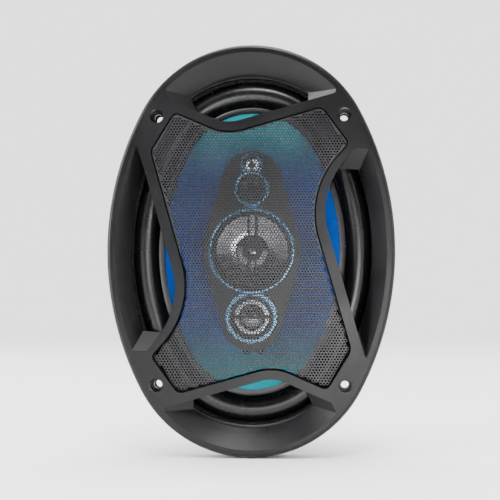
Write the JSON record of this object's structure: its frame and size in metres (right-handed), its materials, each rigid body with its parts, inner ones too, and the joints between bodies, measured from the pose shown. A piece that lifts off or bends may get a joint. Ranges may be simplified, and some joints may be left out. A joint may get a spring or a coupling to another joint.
{
  "type": "coaxial car speaker",
  "caption": "Oval coaxial car speaker: blue cone in a black stamped basket, a central pod with midrange and tweeters, ferrite motor, and a lift-off grille.",
  "frame": {"origin": "centre of the mounting plane, which is the rear face of the basket's flange, in the middle of the four screw holes", "axes": "+Z along the long axis of the oval, +Y backward from the front face to the magnet, +X along the short axis"},
  "size_m": [0.17, 0.1025, 0.243],
  "materials": {
    "grille_plastic": "fine textured satin black",
    "mesh_steel": "satin black perforated steel",
    "ring_plastic": "satin black",
    "basket_paint": "gloss black stamped steel",
    "surround_rubber": "satin black butyl rubber",
    "spider_cloth": "amber impregnated cloth",
    "plate_steel": "black plated steel",
    "ferrite": "dark sintered ferrite",
    "cover_grey": "smooth light grey",
    "cone_blue": "glossy metallic azure blue",
    "former_film": "brown polyimide film",
    "copper_wire": "enamelled copper wire",
    "collar_cloth": "black treated cloth",
    "pod_plastic": "satin black",
    "trim_blue": "light blue metallic",
    "silver_film": "bright metallised film",
    "motor_steel": "plated steel",
    "neodymium": "nickel plated magnet",
    "board_fibre": "brown fibre board",
    "blade_brass": "plated brass",
    "rivet_steel": "zinc plated steel",
    "glue_black": "glossy black adhesive",
    "lead_braid": "braided tinsel lead",
    "lead_white": "pale insulated wire"
  },
  "bodies": {
    "chassis": {"basket": "basket_paint", "trim_ring": "ring_plastic", "surround": "surround_rubber", "spider": "spider_cloth", "top_plate": "plate_steel", "magnet": "ferrite", "back_plate": "plate_steel", "magnet_cover": "cover_grey", "basket_rivets": "rivet_steel", "pod_post": "pod_plastic", "pod_bolt": "rivet_steel", "pod_base": "pod_plastic", "pod_face": "pod_plastic", "mid_trim": "trim_blue", "tweeter_trim": "trim_blue", "large_trim": "trim_blue", "small_trim": "trim_blue", "mid_funnel": "pod_plastic", "mid_magnet": "neodymium", "mid_pole": "motor_steel", "mid_yoke": "motor_steel", "mid_guard_bar": "pod_plastic", "tweeter_cup": "pod_plastic", "tweeter_magnet": "neodymium", "tweeter_pole": "motor_steel", "tweeter_yoke": "motor_steel", "tweeter_bar": "pod_plastic", "large_cup": "pod_plastic", "large_horn": "silver_film", "large_element": "pod_plastic", "small_cup": "pod_plastic", "small_horn": "silver_film", "small_element": "pod_plastic", "terminal_board": "board_fibre", "positive_blade": "blade_brass", "negative_blade": "blade_brass", "terminal_rivets": "rivet_steel", "cone_leads": "lead_braid", "pod_leads": "lead_white"},
    "cone_assembly": {"cone": "cone_blue", "voice_coil_former": "former_film", "voice_coil_winding": "copper_wire", "dust_collar": "collar_cloth", "pod_lead_glue": "glue_black", "lead_eyelets": "glue_black"},
    "mid_diaphragm": {"mid_dish": "silver_film", "mid_coil": "copper_wire"},
    "tweeter_diaphragm": {"tweeter_dome": "silver_film", "tweeter_coil": "copper_wire"},
    "grille": {"grille_frame": "grille_plastic", "grille_mesh": "mesh_steel"}
  },
  "joints": [
    {"name": "cone_excursion", "type": "slide", "parent": "chassis", "child": "cone_assembly", "axis": [0, -1, 0], "range_m": [-0.005, 0.005], "stiffness_N_per_m": 2000, "deforming": ["surround", "spider", "cone_leads", "pod_leads"]},
    {"name": "mid_excursion", "type": "slide", "parent": "chassis", "child": "mid_diaphragm", "axis": [0, -1, 0], "range_m": [-0.0005, 0.0005], "stiffness_N_per_m": 2000},
    {"name": "tweeter_excursion", "type": "slide", "parent": "chassis", "child": "tweeter_diaphragm", "axis": [0, -1, 0], "range_m": [-0.0002, 0.0002], "stiffness_N_per_m": 2000},
    {"name": "grille_lift", "type": "slide", "parent": "chassis", "child": "grille", "axis": [0, -1, 0], "range_m": [0, 0.09]}
  ]
}
